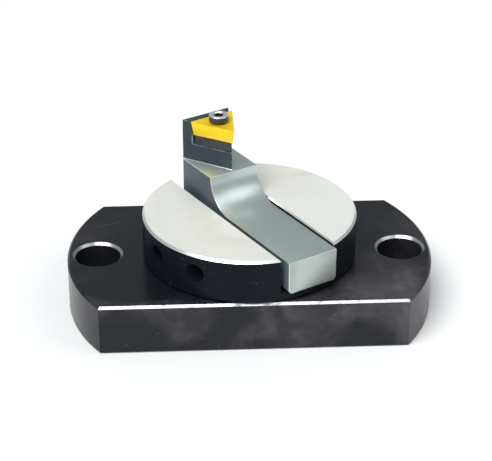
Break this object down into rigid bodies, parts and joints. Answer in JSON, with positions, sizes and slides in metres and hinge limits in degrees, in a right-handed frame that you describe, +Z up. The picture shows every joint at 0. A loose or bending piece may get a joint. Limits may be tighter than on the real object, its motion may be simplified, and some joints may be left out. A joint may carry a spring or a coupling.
{
  "type": "ball turning attachment",
  "caption": "Lathe ball and radius turning tool: a swivel table on a flat-sided base flange, with a raised tool bar in its slot and a triangular insert.",
  "frame": {"origin": "on the swivel axis, in the plane of the base's underside", "axes": "+Z up the swivel axis; +X along the flange through both bolt holes; the bar's plain end points to the -Y side"},
  "size_m": [0.12, 0.07, 0.0589],
  "materials": {
    "black_oxide": "glossy black oxide",
    "ground_steel": "ground satin",
    "blued_steel": "dark blued",
    "bearing_steel": "polished",
    "bronze": "turned",
    "pressed_steel": "pressed",
    "nitrile": "matt",
    "nitride_gold": "gold nitride coating",
    "carbide": "sintered",
    "screw_steel": "black oxide"
  },
  "bodies": {
    "base": {"base_flange": "black_oxide", "pivot_bush": "bronze", "thrust_race_lower": "bearing_steel", "dust_seal": "nitrile"},
    "bearing_cage": {"needle_cage": "pressed_steel", "needle_roller_01": "bearing_steel", "needle_roller_02": "bearing_steel", "needle_roller_03": "bearing_steel", "needle_roller_04": "bearing_steel", "needle_roller_05": "bearing_steel", "needle_roller_06": "bearing_steel", "needle_roller_07": "bearing_steel", "needle_roller_08": "bearing_steel", "needle_roller_09": "bearing_steel", "needle_roller_10": "bearing_steel", "needle_roller_11": "bearing_steel", "needle_roller_12": "bearing_steel", "needle_roller_13": "bearing_steel", "needle_roller_14": "bearing_steel", "needle_roller_15": "bearing_steel", "needle_roller_16": "bearing_steel", "needle_roller_17": "bearing_steel", "needle_roller_18": "bearing_steel", "needle_roller_19": "bearing_steel", "needle_roller_20": "bearing_steel"},
    "table": {"swivel_table": "ground_steel", "thrust_race_upper": "bearing_steel", "thrust_washer": "bronze", "tab_washer": "pressed_steel", "lock_nut": "blued_steel"},
    "tool_slide": {"tool_bar": "blued_steel", "insert_shim": "carbide", "shim_screw": "screw_steel", "carbide_insert": "nitride_gold"},
    "clamp_screw_head_end": {"clamp_screw_head_end": "screw_steel"},
    "clamp_screw_middle": {"clamp_screw_middle": "screw_steel"},
    "clamp_screw_plain_end": {"clamp_screw_plain_end": "screw_steel"},
    "insert_screw": {"insert_screw": "screw_steel"}
  },
  "joints": [
    {"name": "table_swivel", "type": "hinge", "parent": "base", "child": "table", "pos_m": [0, 0, 0.017], "axis": [0, 0, 1], "continuous": true},
    {"name": "cage_roll", "type": "hinge", "parent": "base", "child": "bearing_cage", "pos_m": [0, 0, 0.0141], "axis": [0, 0, 1], "continuous": true},
    {"name": "tool_bar_slide", "type": "slide", "parent": "table", "child": "tool_slide", "axis": [-0.5, 0.866, 0], "range_m": [-0.018, 0.03]},
    {"name": "clamp_head_end_slide", "type": "slide", "parent": "table", "child": "clamp_screw_head_end", "axis": [-0.866, -0.5, 0], "range_m": [0, 0.004]},
    {"name": "clamp_middle_slide", "type": "slide", "parent": "table", "child": "clamp_screw_middle", "axis": [-0.866, -0.5, 0], "range_m": [0, 0.004]},
    {"name": "clamp_plain_end_slide", "type": "slide", "parent": "table", "child": "clamp_screw_plain_end", "axis": [-0.866, -0.5, 0], "range_m": [0, 0.004]},
    {"name": "insert_screw_lift", "type": "slide", "parent": "tool_slide", "child": "insert_screw", "axis": [0, 0, 1], "range_m": [0, 0.007]}
  ],
  "couplings": [
    {"joint": "cage_roll", "follows": "table_swivel", "ratio": 0.5}
  ]
}
